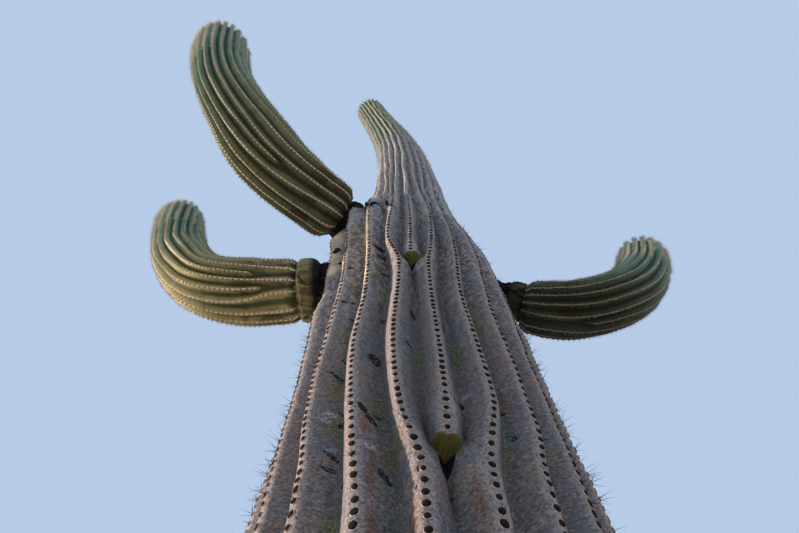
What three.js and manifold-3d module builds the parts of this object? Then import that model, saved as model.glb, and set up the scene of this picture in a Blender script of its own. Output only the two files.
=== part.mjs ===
// A mature saguaro cactus, rooted in the ground: one ribbed trunk with three arms.
// Millimetres, +Z up. The origin is the middle of the flat cut under the trunk, at ground level.
// A bearing or heading is in degrees, from the front (-Y) round towards +X.
// A climb is the angle above the horizontal, in degrees.
import * as THREE from "three";
import { mergeVertices } from "three/addons/utils/BufferGeometryUtils.js";
import Module from "manifold-3d";

// Neighbouring solids stay this far apart, and what meets the ribbed trunk has a little more
// room along the radius, because the flanks of the ribs are steep.
const SEAT_GAP = 0.3;
const TRUNK_CLEARANCE = 0.6;

// Trunk: the height of the dome's centre, and the lean that begins above the arms.
const DOME_HEIGHT = 8300;
const DOME_RINGS = 4;
const LEAN = { from: 4300, to: 6900, angle: 8.6, heading: -84 };

// Radius over the rib crests: [height, on the open side, on the shoulder under the high arm].
const TRUNK_GIRTH = [
  [0, 288, 288],
  [180, 268, 268],
  [600, 270, 270],
  [1200, 304, 304],
  [1800, 327, 327],
  [2120, 323, 323],
  [2400, 315, 316],
  [2800, 311, 315],
  [3200, 298, 317],
  [3450, 273, 327],
  [3620, 252, 317],
  [3720, 241, 290],
  [3820, 232, 254],
  [3960, 222, 229],
  [4200, 212, 216],
  [4500, 202, 207],
  [4900, 190, 197],
  [5500, 176, 183],
  [6300, 158, 163],
  [7100, 147, 150],
  [7800, 149, 149],
  [8300, 156, 156],
];
const SHOULDER = { bearing: -55, spread: 85 };

// Furrow depth under the crests: [height, depth].
const FURROW_DEPTH = [
  [0, 14],
  [500, 26],
  [1900, 44],
  [3600, 42],
  [4200, 32],
  [5000, 25],
  [8300, 19],
];

// The ribs of the front, from left to right, as [height, bearing of the crest]. A rib with a
// start stays a slim line in the furrow up to that height. The other ribs share what is left.
const FRONT_RIBS = [
  { rows: [[0, -56], [2050, -54], [2300, -60], [2500, -64], [3000, -64], [3500, -67], [4300, -69],
    [5100, -80], [8300, -84]] },
  { rows: [[0, -39], [2080, -38.5], [2300, -43.5], [2450, -46.5], [2650, -43.5], [2850, -42],
    [3300, -48], [4200, -51], [5100, -65], [8300, -68]] },
  { rows: [[0, -19], [2000, -19.3], [2140, -22.2], [2450, -27.8], [2700, -25.5], [3000, -27],
    [3430, -31.4], [4060, -34.5], [4600, -40.5], [5100, -49], [8300, -52]] },
  { start: 4560, rows: [[0, -10.5], [2000, -11], [2450, -19.7], [2850, -17.8], [3100, -22],
    [3460, -23], [4100, -27], [4560, -31.5], [5100, -34.5], [8300, -36]] },
  { rows: [[0, -2], [2050, -3], [2220, -9], [2450, -11.6], [2850, -9.6], [3050, -15.8],
    [3200, -16.2], [3500, -14.8], [4180, -19.5], [4700, -21], [8300, -19]] },
  { start: 2880, rows: [[0, 4.6], [1950, 4.4], [2110, 1], [2250, -2.5], [2800, -2.6],
    [2880, -3.5], [3300, -2.7], [4130, -6], [4700, -8], [8300, -4]] },
  { start: 2110, rows: [[0, 6.6], [1950, 6.4], [2100, 4.6], [2300, 5], [2800, 5], [3000, 8.3],
    [3200, 10.6], [3460, 12.5], [4100, 8.5], [4800, 7], [8300, 11]] },
  { start: 4050, rows: [[0, 8.2], [1950, 8], [2110, 8.5], [2250, 12.5], [2680, 11.6],
    [3000, 15.3], [3460, 19], [4050, 18], [4600, 20.5], [8300, 27]] },
  { rows: [[0, 14.5], [2060, 14], [2250, 20], [2400, 20.2], [2680, 18.4], [3000, 22.3],
    [3500, 26], [4400, 33], [5500, 39], [8300, 42]] },
  { rows: [[0, 29.5], [2060, 29.8], [2220, 34], [2400, 35.5], [2680, 33.2], [3000, 38],
    [3500, 41], [4200, 47], [8300, 56]] },
  { rows: [[0, 45.5], [2060, 45.2], [2360, 50], [2550, 48.7], [3000, 54.5], [3500, 57],
    [4200, 63], [8300, 71]] },
  { rows: [[0, 62], [2200, 65], [3000, 71], [4200, 77], [8300, 86]] },
];
const BACK_RIB_COUNT = 13;

// A new rib widens over this run, of which a share lies below its start, and stands up over
// its nose.
const RIB_OPENING = { run: 360, early: 0.56 };
const RIB_NOSE = 90;
const SLIM_SHARE = 0.05;

// The trunk's mesh: ring spacing up to each height, and the places across one rib.
const RING_STEPS = [
  { upTo: 600, step: 150 },
  { upTo: 1800, step: 300 },
  { upTo: 3240, step: 120 },
  { upTo: 3800, step: 186 },
  { upTo: 4600, step: 100 },
  { upTo: DOME_HEIGHT, step: 370 },
];
const TRUNK_RIB_PLACES = [-1, -0.32, 0.32];
const ARM_RIB_PLACES = [-1, 0];

// Arms. root: where the centre line starts, inside the trunk. turns: [distance along the arm,
// heading, climb]. girth: [distance, radius over the crests]. neck, cuff and bend: the distances
// at which those pieces end. length runs to the tip, and dome is the length of its rounding.
const ARMS = [
  {
    name: "arm_left_lower",
    root: [-229, -69, 3188],
    turns: [
      [0, -96, -5],
      [300, -90, -1],
      [450, -89, 20],
      [600, -88, 51],
      [850, -93, 64],
      [1500, -60, 80],
    ],
    girth: [
      [160, 110],
      [240, 115],
      [350, 119],
      [570, 109],
      [760, 110],
      [1240, 101],
    ],
    neck: { end: 95, radius: 90 },
    cuff: { end: 168, radius: 112, lift: 0, lobes: 9 },
    bend: 580,
    dome: 180,
    length: 1400,
    ribs: 16,
    furrow: 19,
  },
  {
    name: "arm_left_upper",
    root: [-216, -91, 3701],
    turns: [
      [0, -52, -6],
      [350, -50, 6],
      [600, -42, 31],
      [900, -42, 50],
      [1200, -31, 66],
      [1800, -14, 70],
    ],
    girth: [
      [118, 108],
      [160, 131],
      [240, 135],
      [430, 145],
      [570, 151],
      [740, 137],
      [1030, 129],
      [1360, 127],
    ],
    neck: { end: 118, radius: 98 },
    bend: 700,
    dome: 190,
    length: 1488,
    ribs: 18,
    furrow: 22,
  },
  {
    name: "arm_right",
    root: [257, -43, 3166],
    turns: [
      [0, 98, -36],
      [250, 89, -3],
      [400, 84, 21],
      [600, 90, 53],
      [800, 97, 66],
      [1250, 94, 80],
    ],
    girth: [
      [128, 85],
      [170, 92],
      [260, 99],
      [400, 99],
      [800, 93],
      [950, 92],
    ],
    neck: { end: 66, radius: 64 },
    cuff: { end: 126, radius: 68, lift: 24, lobes: 7 },
    bend: 500,
    dome: 150,
    length: 1034,
    ribs: 15,
    furrow: 17,
  },
];
const ARM_STEP = 58;
const NECK_STEP = 24;
const NECK_SIDES = 24;
const CUFF_SIDES = 28;
const CUFF_FURROW = 7;
// Radii at a piece's pinched rings, as a share of its full radius.
const NECK_PINCH = 0.95;
const CUFF_PINCH = 0.93;
// The furrows of an arm start at this place on their smooth rise, and deepen over this run.
const BASE_FURROW = 0.35;
const FURROW_RUN = 250;
const CENTRE_LINE_STEP = 2;

const COLOURS = {
  bark: { color: 0x857a76, roughness: 0.9, metalness: 0 },
  skin: { color: 0x68755a, roughness: 0.62, metalness: 0 },
  cork: { color: 0x3d3329, roughness: 0.95, metalness: 0 },
};

const wasm = await Module();
wasm.setup();

const radians = THREE.MathUtils.degToRad;

function smooth(t) {
  const u = THREE.MathUtils.clamp(t, 0, 1);
  return u * u * (3 - 2 * u);
}

// The value in a column of the rows at a place, on a smooth curve through all rows.
function along(rows, place, column) {
  const last = rows.length - 1;
  if (place <= rows[0][0]) return rows[0][column];
  if (place >= rows[last][0]) return rows[last][column];
  const i = rows.findIndex((row) => row[0] > place) - 1;
  const slope = (k) => {
    const a = rows[Math.max(k - 1, 0)];
    const b = rows[Math.min(k + 1, last)];
    return (b[column] - a[column]) / (b[0] - a[0]);
  };
  const [a, b] = [rows[i], rows[i + 1]];
  const span = b[0] - a[0];
  const t = (place - a[0]) / span;
  const bend = t * (1 - t) * span;
  const mix = a[column] + (b[column] - a[column]) * smooth(t);
  return mix + bend * ((1 - t) * slope(i) - t * slope(i + 1));
}

// The value in a column of the rows at a place, on straight lines between the rows.
function straight(rows, place, column) {
  const last = rows.length - 1;
  if (place >= rows[last][0]) return rows[last][column];
  const i = Math.max(rows.findIndex((row) => row[0] > place) - 1, 0);
  const [a, b] = [rows[i], rows[i + 1]];
  return a[column] + ((b[column] - a[column]) * (place - a[0])) / (b[0] - a[0]);
}

function direction(heading, climb) {
  const [h, c] = [radians(heading), radians(climb)];
  return new THREE.Vector3(Math.sin(h) * Math.cos(c), -Math.cos(h) * Math.cos(c), Math.sin(c));
}

// How far out the ribbed surface stands between furrow (place 1 or -1) and crest (place 0).
function ribRise(place) {
  return (1 + Math.cos(Math.PI * place)) / 2;
}

// A closed skin through the rings. The first ring has a flat cap, and the last has a flat cap
// too unless the skin ends in a tip.
function closedSkin(rings, tip) {
  const sides = rings[0].length;
  const middle = (ring) =>
    ring.reduce((sum, p) => sum.add(p), new THREE.Vector3()).divideScalar(sides);
  const points = [...rings.flat(), middle(rings[0]), tip ?? middle(rings.at(-1))];
  const [start, end] = [points.length - 2, points.length - 1];
  const faces = [];
  const lastRing = (rings.length - 1) * sides;
  for (let i = 0; i < sides; i += 1) {
    const next = (i + 1) % sides;
    faces.push(start, next, i);
    faces.push(end, lastRing + i, lastRing + next);
    for (let r = 0; r < lastRing; r += sides) {
      faces.push(r + i, r + next, r + sides + next);
      faces.push(r + i, r + sides + next, r + sides + i);
    }
  }
  const geometry = new THREE.BufferGeometry().setFromPoints(points);
  geometry.setIndex(faces);
  return geometry;
}

function solidOf(geometry) {
  const merged = mergeVertices(geometry, 1e-4);
  return new wasm.Manifold(
    new wasm.Mesh({
      numProp: 3,
      vertProperties: merged.attributes.position.array,
      triVerts: new Uint32Array(merged.index.array),
    }),
  );
}

function geometryOf(solid) {
  const mesh = solid.getMesh();
  const geometry = new THREE.BufferGeometry();
  geometry.setAttribute("position", new THREE.BufferAttribute(mesh.vertProperties, 3));
  geometry.setIndex(new THREE.BufferAttribute(mesh.triVerts, 1));
  return geometry;
}

function named(name, geometry, colour) {
  geometry.computeVertexNormals();
  const mesh = new THREE.Mesh(geometry, new THREE.MeshStandardMaterial(COLOURS[colour]));
  mesh.name = name;
  return mesh;
}

// How far a new rib has stood up at a distance past its start: 0 before it, 1 from its nose on.
function noseRise(past) {
  const t = THREE.MathUtils.clamp(past / RIB_NOSE, 0, 1);
  return Math.sqrt(1 - (1 - t) * (1 - t));
}

// The ribs at a height, in order of bearing. rise is 1 for a full rib and 0 before it starts.
function ribsAt(height) {
  const front = FRONT_RIBS.map(({ start, rows }) => {
    const bearing = along(rows, height, 1);
    if (start === undefined) return { bearing, share: 1, rise: 1 };
    const opened = smooth((height - start) / RIB_OPENING.run + RIB_OPENING.early);
    return { bearing, share: Math.max(opened, SLIM_SHARE), rise: noseRise(height - start) };
  });
  const [first, last] = [front[0].bearing, front.at(-1).bearing];
  const step = (first + 360 - last) / (BACK_RIB_COUNT + 1);
  const back = Array.from({ length: BACK_RIB_COUNT }, (_, i) => ({
    bearing: last + step * (i + 1),
    share: 1,
    rise: 1,
  }));
  return [...front, ...back];
}

function trunkAxis(height) {
  const { from, to, angle, heading } = LEAN;
  const t = THREE.MathUtils.clamp((height - from) / (to - from), 0, 1);
  const bent = (to - from) * (t * t * t - (t * t * t * t) / 2);
  const out = Math.tan(radians(angle)) * (bent + Math.max(height - to, 0));
  const side = direction(heading, 0).multiplyScalar(out);
  return side.setZ(height);
}

function crestRadius(bearing, height) {
  const away = THREE.MathUtils.euclideanModulo(bearing - SHOULDER.bearing + 180, 360) - 180;
  const share = smooth(1 - Math.abs(away) / SHOULDER.spread);
  const open = along(TRUNK_GIRTH, height, 1);
  return open + share * (along(TRUNK_GIRTH, height, 2) - open);
}

// One ring of the trunk. shrink is 1 on the trunk and goes to 0 at the tip of the dome.
function trunkRing(height, extra, shrink = 1) {
  const level = Math.min(height, DOME_HEIGHT);
  const ribs = ribsAt(level);
  const depth = along(FURROW_DEPTH, level, 1);
  const axis = trunkAxis(height);
  const ring = [];
  ribs.forEach((rib, i) => {
    const turn = (k) => (k < 0 ? -360 : k >= ribs.length ? 360 : 0);
    const neighbour = (k) => {
      const other = ribs[(k + ribs.length) % ribs.length];
      const gap = other.bearing + turn(k) - rib.bearing;
      return (gap * rib.share) / (rib.share + other.share);
    };
    for (const place of TRUNK_RIB_PLACES) {
      const reach = place < 0 ? -neighbour(i - 1) : neighbour(i + 1);
      const bearing = rib.bearing + place * reach;
      const rise = rib.rise * ribRise(place);
      const radius = (crestRadius(bearing, level) - depth * (1 - rise)) * shrink + extra;
      ring.push(direction(bearing, 0).multiplyScalar(radius).add(axis));
    }
  });
  return ring;
}

// The trunk's skin from the ground to the tip, with extra added to its radius.
function trunkSkin(extra) {
  const rings = [trunkRing(0, extra)];
  let height = 0;
  for (const { upTo, step } of RING_STEPS) {
    const count = Math.round((upTo - height) / step);
    const start = height;
    for (let i = 1; i <= count; i += 1) {
      height = start + ((upTo - start) * i) / count;
      rings.push(trunkRing(height, extra));
    }
  }
  const domeRise = along(TRUNK_GIRTH, DOME_HEIGHT, 1);
  for (let i = 1; i < DOME_RINGS; i += 1) {
    const angle = (Math.PI / 2) * (i / DOME_RINGS);
    rings.push(trunkRing(DOME_HEIGHT + domeRise * Math.sin(angle), extra, Math.cos(angle)));
  }
  return closedSkin(rings, trunkAxis(DOME_HEIGHT + domeRise + extra));
}

// The centre line of an arm as a function of the distance along it.
function centreLine(arm) {
  const points = [new THREE.Vector3(...arm.root)];
  for (let s = 0; s < arm.length; s += CENTRE_LINE_STEP) {
    const middle = s + CENTRE_LINE_STEP / 2;
    const step = direction(straight(arm.turns, middle, 1), straight(arm.turns, middle, 2));
    points.push(points.at(-1).clone().addScaledVector(step, CENTRE_LINE_STEP));
  }
  return (s) => {
    const k = Math.min(Math.floor(s / CENTRE_LINE_STEP), points.length - 2);
    return points[k].clone().lerp(points[k + 1], s / CENTRE_LINE_STEP - k);
  };
}

// The plane across an arm at a distance s: its centre, moved along the arm by shift, and the
// unit vectors to its side and top.
function crossPlane(arm, line, s, shift = 0) {
  const [heading, climb] = [straight(arm.turns, s, 1), straight(arm.turns, s, 2)];
  const centre = line(s).addScaledVector(direction(heading, climb), shift);
  return { s, centre, side: direction(heading + 90, 0), top: direction(heading, climb + 90) };
}

// Evenly spaced planes from one end of a piece to the other, both ends included. At a joint
// the two neighbours' planes are parallel, with the seat gap between them.
function planesBetween(arm, line, from, to, step, endsAtJoint = true) {
  const count = Math.max(Math.ceil((to - from) / step), 2);
  return Array.from({ length: count + 1 }, (_, i) => {
    const startShift = i === 0 ? SEAT_GAP / 2 : 0;
    const endShift = i === count && endsAtJoint ? SEAT_GAP / 2 : 0;
    return crossPlane(arm, line, from + ((to - from) * i) / count, startShift - endShift);
  });
}

function ringPoint(plane, angle, radius, lift = 0) {
  return plane.centre
    .clone()
    .addScaledVector(plane.side, radius * Math.sin(angle))
    .addScaledVector(plane.top, radius * Math.cos(angle) + lift);
}

// A plain round ring with lobes, for necks and cuffs. Angles run the way that makes the skin
// face outwards.
function lobedRing(plane, sides, radius, lobes = 0, depth = 0, lift = 0) {
  return Array.from({ length: sides }, (_, i) => {
    const angle = (-2 * Math.PI * i) / sides;
    const dent = lobes ? (depth * (1 - Math.cos(lobes * angle))) / 2 : 0;
    return ringPoint(plane, angle, radius - dent, lift);
  });
}

function ribbedRing(arm, plane, radius, depth) {
  const ring = [];
  for (let rib = 0; rib < arm.ribs; rib += 1) {
    for (const place of ARM_RIB_PLACES) {
      const angle = (-2 * Math.PI * (rib + place / 2)) / arm.ribs;
      ring.push(ringPoint(plane, angle, radius - depth * (1 - ribRise(place))));
    }
  }
  return ring;
}

// Where an arm's ribs start, past its neck and cuff.
function ribStart(arm) {
  return arm.cuff ? arm.cuff.end : arm.neck.end;
}

// The corky neck, from inside the trunk out to the arm's first green piece.
function neckSolid(arm, line) {
  const { end, radius } = arm.neck;
  const rings = planesBetween(arm, line, 0, end, NECK_STEP).map((plane, i) =>
    lobedRing(plane, NECK_SIDES, i % 2 ? radius : radius * NECK_PINCH),
  );
  return solidOf(closedSkin(rings));
}

// The short swollen piece between the neck and the first pinch of the arm.
function cuffSolid(arm, line) {
  const from = arm.neck.end;
  const { end, radius, lift, lobes } = arm.cuff;
  const rings = planesBetween(arm, line, from, end, NECK_STEP).map((plane) => {
    const swell = Math.sin((Math.PI * (plane.s - from)) / (end - from));
    const ringRadius = radius * (CUFF_PINCH + (1 - CUFF_PINCH) * swell);
    return lobedRing(plane, CUFF_SIDES, ringRadius, lobes, CUFF_FURROW, lift);
  });
  return solidOf(closedSkin(rings));
}

// A ribbed length of an arm between two distances. It ends in the dome where it is the last.
function ribbedSolid(arm, line, from, to) {
  const isLast = to === arm.length;
  const domeStart = arm.length - arm.dome;
  const ring = (plane, shrink = 1) => {
    const depth = arm.furrow * smooth(BASE_FURROW + (plane.s - ribStart(arm)) / FURROW_RUN);
    const radius = along(arm.girth, plane.s, 1);
    return ribbedRing(arm, plane, radius * shrink, depth * shrink);
  };
  const ribbedEnd = isLast ? domeStart : to;
  const planes = planesBetween(arm, line, from, ribbedEnd, ARM_STEP, !isLast);
  const rings = planes.map((plane) => ring(plane));
  if (!isLast) return solidOf(closedSkin(rings));
  for (let i = 1; i < DOME_RINGS; i += 1) {
    const angle = (Math.PI / 2) * (i / DOME_RINGS);
    const plane = crossPlane(arm, line, domeStart + arm.dome * Math.sin(angle));
    rings.push(ring(plane, Math.cos(angle)));
  }
  return solidOf(closedSkin(rings, line(arm.length)));
}

// The named pieces of one arm, from the trunk outwards. The trunk's room is cut from each piece
// that starts against it.
function armPieces(arm, trunkRoom) {
  const line = centreLine(arm);
  const pieces = [["neck", neckSolid(arm, line).subtract(trunkRoom), "cork"]];
  if (arm.cuff) pieces.push(["cuff", cuffSolid(arm, line).subtract(trunkRoom), "skin"]);
  const reach = ribbedSolid(arm, line, ribStart(arm), arm.bend).subtract(trunkRoom);
  pieces.push(["reach", reach, "skin"]);
  pieces.push(["rise", ribbedSolid(arm, line, arm.bend, arm.length), "skin"]);
  return pieces.map(([part, solid, colour]) =>
    named(`${arm.name}_${part}`, geometryOf(solid), colour),
  );
}

const group = new THREE.Group();
group.add(named("trunk", trunkSkin(0), "bark"));
const trunkRoom = solidOf(trunkSkin(TRUNK_CLEARANCE));
for (const arm of ARMS) {
  group.add(...armPieces(arm, trunkRoom));
}

export default group;
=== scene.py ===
from types import SimpleNamespace

import bpy
import numpy as np
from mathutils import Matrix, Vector


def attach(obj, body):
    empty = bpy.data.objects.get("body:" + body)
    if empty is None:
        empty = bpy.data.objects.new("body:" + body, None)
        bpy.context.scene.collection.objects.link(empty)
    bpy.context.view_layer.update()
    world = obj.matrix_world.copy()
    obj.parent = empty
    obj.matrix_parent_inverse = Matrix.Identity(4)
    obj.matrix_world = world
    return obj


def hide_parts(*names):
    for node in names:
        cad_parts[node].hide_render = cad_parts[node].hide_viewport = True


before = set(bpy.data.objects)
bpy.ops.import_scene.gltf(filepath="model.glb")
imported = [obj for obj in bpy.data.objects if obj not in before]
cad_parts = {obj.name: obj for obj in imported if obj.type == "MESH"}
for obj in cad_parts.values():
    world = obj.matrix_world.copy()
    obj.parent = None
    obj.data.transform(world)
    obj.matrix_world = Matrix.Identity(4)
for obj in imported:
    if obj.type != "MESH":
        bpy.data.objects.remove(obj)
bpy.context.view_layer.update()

# Camera, as the photograph was taken: close to the trunk at eye height, looking steeply up.
EYE = (-0.05, -0.86, 1.5)
LOOK_CLIMB = 67
LENS_MM = 24
SENSOR_MM = 36

# Light: a low warm sun from the left, and a pale blue sky all round.
SUN_BEARING = -95
SUN_CLIMB = 17
SUN_WIDTH = 2
SUN_STRENGTH = 6.2
SUN_COLOUR = (1.0, 0.80, 0.64)
SKY_COLOUR = (190, 211, 240)
SKY_STRENGTH = 0.92

# Trunk: radius over the rib crests as (height, on the open side, on the shoulder side).
DOME_HEIGHT = 8.3
TRUNK_GIRTH = [
    (0, 0.288, 0.288), (0.18, 0.268, 0.268), (0.6, 0.270, 0.270), (1.2, 0.304, 0.304),
    (1.8, 0.327, 0.327), (2.12, 0.323, 0.323), (2.4, 0.315, 0.316), (2.8, 0.311, 0.315),
    (3.2, 0.298, 0.317), (3.45, 0.273, 0.327), (3.62, 0.252, 0.317), (3.72, 0.241, 0.290),
    (3.82, 0.232, 0.254), (3.96, 0.222, 0.229), (4.2, 0.212, 0.216), (4.5, 0.202, 0.207),
    (4.9, 0.190, 0.197), (5.5, 0.176, 0.183), (6.3, 0.158, 0.163), (7.1, 0.147, 0.150),
    (7.8, 0.149, 0.149), (8.3, 0.156, 0.156),
]
TRUNK_WIDEST = 0.327
SHOULDER_BEARING = -55
SHOULDER_SPREAD = 85
TRUNK_FURROW = [(0, 0.014), (0.5, 0.026), (1.9, 0.044), (3.6, 0.042), (4.2, 0.032), (5, 0.025), (8.3, 0.019)]
LEAN_FROM = 4.3
LEAN_TO = 6.9
LEAN_ANGLE = 8.6
LEAN_HEADING = -84

# The trunk's front ribs from left to right: (start, [(height, bearing of the crest), ...]).
# A rib that starts higher up is a slim line in the furrow below its start.
TRUNK_RIBS = [
    (0, [(0, -56), (2.05, -54), (2.3, -60), (2.5, -64), (3, -64), (3.5, -67), (4.3, -69),
         (5.1, -80), (8.3, -84)]),
    (0, [(0, -39), (2.08, -38.5), (2.3, -43.5), (2.45, -46.5), (2.65, -43.5), (2.85, -42),
         (3.3, -48), (4.2, -51), (5.1, -65), (8.3, -68)]),
    (0, [(0, -19), (2, -19.3), (2.14, -22.2), (2.45, -27.8), (2.7, -25.5), (3, -27), (3.43, -31.4),
         (4.06, -34.5), (4.6, -40.5), (5.1, -49), (8.3, -52)]),
    (3.54, [(0, -10.5), (2, -11), (2.45, -19.7), (2.85, -17.8), (3.1, -22), (3.46, -23), (4.1, -27),
            (4.56, -31.5), (5.1, -34.5), (8.3, -36)]),
    (0, [(0, -2), (2.05, -3), (2.22, -9), (2.45, -11.6), (2.85, -9.6), (3.05, -15.8), (3.2, -16.2),
         (3.5, -14.8), (4.18, -19.5), (4.7, -21), (8.3, -19)]),
    (2.898, [(0, 6), (1.95, 5.6), (2.07, 3.8), (2.12, 0.2), (2.25, -2.5), (2.8, -2.6), (2.88, -3.5),
             (3.3, -2.7), (4.13, -6), (4.7, -8), (8.3, -4)]),
    (2.125, [(0, 6.2), (1.95, 5.8), (2.07, 4), (2.12, 3.9), (2.3, 5), (2.8, 5), (3, 8.3), (3.2, 10.6),
             (3.46, 12.5), (4.1, 8.5), (4.8, 7), (8.3, 11)]),
    (3.58, [(0, 6.4), (1.95, 6), (2.07, 4.2), (2.12, 8.4), (2.25, 12.5), (2.68, 11.6), (3, 15.3),
            (3.46, 19), (4.05, 18), (4.6, 20.5), (8.3, 27)]),
    (0, [(0, 14.5), (2.06, 14), (2.25, 20), (2.4, 20.2), (2.68, 18.4), (3, 22.3), (3.5, 26), (4.4, 33),
         (5.5, 39), (8.3, 42)]),
    (0, [(0, 29.5), (2.06, 29.8), (2.22, 34), (2.4, 35.5), (2.68, 33.2), (3, 38), (3.5, 41), (4.2, 47),
         (8.3, 56)]),
    (0, [(0, 45.5), (2.06, 45.2), (2.36, 50), (2.55, 48.7), (3, 54.5), (3.5, 57), (4.2, 63), (8.3, 71)]),
    (0, [(0, 62), (2.2, 65), (3, 71), (4.2, 77), (8.3, 86)]),
]
TRUNK_BACK_RIBS = 13

# A new rib widens over a run, of which a share lies early, before its start. It stands up over
# its nose, and is swollen by a share for a while.
TRUNK_OPENING = {"run": 0.055, "early": 0.82, "nose": 0.014, "swell": 0.55}
ARM_OPENING = {"run": 0.07, "early": 0.7, "nose": 0.015, "swell": 0.0}
SWELL_RUN = 0.14
# The nose's sides stand up this much later than its middle.
PROW = 0.013
# From this height up new ribs have no nose and rise over this run.
HIGH_START = 3.5
HIGH_RUN = 0.24
# The least share of a rib, where it is a slim line.
SLIM_SHARE = 0.02
# The ribs high on the trunk wave by this angle, over this length.
WAVE_ANGLE = 1.3
WAVE_RUN = 0.12
# The ribs of the hidden sides sway by this angle, over this length.
SWAY_ANGLE = 1.1
SWAY_RUN = 0.27
# Above 1, a rib's columns crowd towards its crest.
CREST_CROWDING = 1.15
# Columns for a rib that shows and for a hidden one, and the angles between which ribs show.
TRUNK_COLUMNS = (20, 6, -80, 75)
ARM_COLUMNS = (12, 8, 100, 280)
# The trunk's skin is four pieces, with seams at these heights.
TRUNK_SEAMS = (2.06, 2.6, 3.66)

# Arms, as in the solids. turns: (place, heading, climb). girth: (place, radius over the crests).
# neck: (end, radius). cuff: (end, radius, lift, lobes). shade: how dark painted shade makes its
# shady side. The next key: how pale painted sunlight makes the lit side of its tip. ribs are the crests
# that show, others the rest.
ARMS = {
    "arm_left_lower": {
        "root": (-0.229, -0.069, 3.188),
        "turns": [
            (0, -96, -5), (0.3, -90, -1), (0.45, -89, 20), (0.6, -88, 51), (0.85, -93, 64), (1.5, -60, 80),
        ],
        "girth": [(0.16, 0.110), (0.24, 0.115), (0.35, 0.119), (0.57, 0.109), (0.76, 0.110), (1.24, 0.101)],
        "neck": (0.095, 0.090),
        "cuff": (0.168, 0.112, 0.0, 9),
        "dome": 0.18,
        "length": 1.40,
        "shade": 0.0,
        "painted_sun_tip": 0.0,
        "furrow": 0.019,
        "ribs": [
            (0, [(0.17, 121), (0.4, 123), (1.4, 122)]),
            (0, [(0.17, 146), (0.37, 144), (1.4, 143)]),
            (0, [(0.17, 171), (0.37, 165), (0.7, 163), (1.4, 163)]),
            (0, [(0.17, 205), (0.25, 203), (0.37, 188), (0.7, 184), (1.4, 184)]),
            (0.28, [(0.17, 214), (0.28, 212), (0.37, 209), (0.7, 205), (1.4, 205)]),
            (0, [(0.17, 225), (0.37, 227), (0.7, 226), (1.4, 226)]),
            (0.31, [(0.17, 236), (0.31, 240), (0.7, 246), (1.4, 247)]),
            (0, [(0.17, 248), (0.37, 257), (0.7, 265), (1.4, 267)]),
            (0, [(0.17, 273), (0.37, 279), (0.7, 285), (1.4, 288)]),
        ],
        "others": 9,
    },
    "arm_left_upper": {
        "root": (-0.216, -0.091, 3.701),
        "turns": [
            (0, -52, -6), (0.35, -50, 6), (0.6, -42, 31), (0.9, -42, 50), (1.2, -31, 66), (1.8, -14, 70),
        ],
        "girth": [
            (0.118, 0.108), (0.16, 0.131), (0.24, 0.135), (0.43, 0.145),
            (0.57, 0.151), (0.74, 0.137), (1.03, 0.129), (1.36, 0.127),
        ],
        "neck": (0.118, 0.098),
        "cuff": None,
        "dome": 0.19,
        "length": 1.488,
        "shade": 0.54,
        "painted_sun_tip": 0.0,
        "furrow": 0.022,
        "ribs": [
            (0, [(0.12, 122), (0.4, 120), (0.8, 118), (1.49, 116)]),
            (0, [(0.12, 148), (0.3, 145), (0.6, 140), (1.49, 137)]),
            (0, [(0.12, 171), (0.3, 165), (0.6, 159), (1, 155), (1.49, 154)]),
            (0, [(0.12, 201), (0.2, 200), (0.35, 190), (0.55, 180), (0.8, 172), (1.49, 172)]),
            (0.42, [(0.12, 212), (0.42, 203), (0.6, 196), (0.8, 190), (1.49, 189)]),
            (0, [(0.12, 223), (0.35, 217), (0.5, 211), (0.8, 208), (1.49, 206)]),
            (0, [(0.12, 246), (0.5, 234), (0.8, 227), (1.49, 223)]),
            (0, [(0.12, 270), (0.5, 257), (0.8, 247), (1.49, 240)]),
            (0.5, [(0.12, 283), (0.5, 270), (0.8, 264), (1.49, 257)]),
        ],
        "others": 9,
    },
    "arm_right": {
        "root": (0.257, -0.043, 3.166),
        "turns": [
            (0, 98, -36), (0.25, 89, -3), (0.4, 84, 21), (0.6, 90, 53), (0.8, 97, 66), (1.25, 94, 80),
        ],
        "girth": [(0.128, 0.085), (0.17, 0.092), (0.26, 0.099), (0.4, 0.099), (0.8, 0.093), (0.95, 0.092)],
        "neck": (0.066, 0.064),
        "cuff": (0.126, 0.068, 0.024, 7),
        "dome": 0.15,
        "length": 1.034,
        "shade": 0.86,
        "painted_sun_tip": 0.9,
        "furrow": 0.017,
        "ribs": [
            (0, [(0.13, 84), (0.25, 79), (0.5, 76), (1, 76)]),
            (0, [(0.13, 110), (0.25, 104.5), (0.5, 99), (1, 97)]),
            (0, [(0.13, 127), (0.25, 123), (0.5, 120), (1, 119)]),
            (0, [(0.13, 145), (0.25, 143), (0.5, 142), (1, 141)]),
            (0, [(0.13, 165), (0.25, 166.5), (0.5, 165), (1, 164)]),
            (0.3, [(0.13, 180), (0.3, 181), (0.5, 184), (1, 185)]),
            (0, [(0.13, 194), (0.25, 198), (0.5, 205), (1, 206)]),
            (0, [(0.13, 217), (0.25, 220), (0.5, 226), (1, 227)]),
            (0, [(0.13, 240), (0.25, 243), (0.5, 247), (1, 249)]),
        ],
        "others": 8,
    },
}

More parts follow.
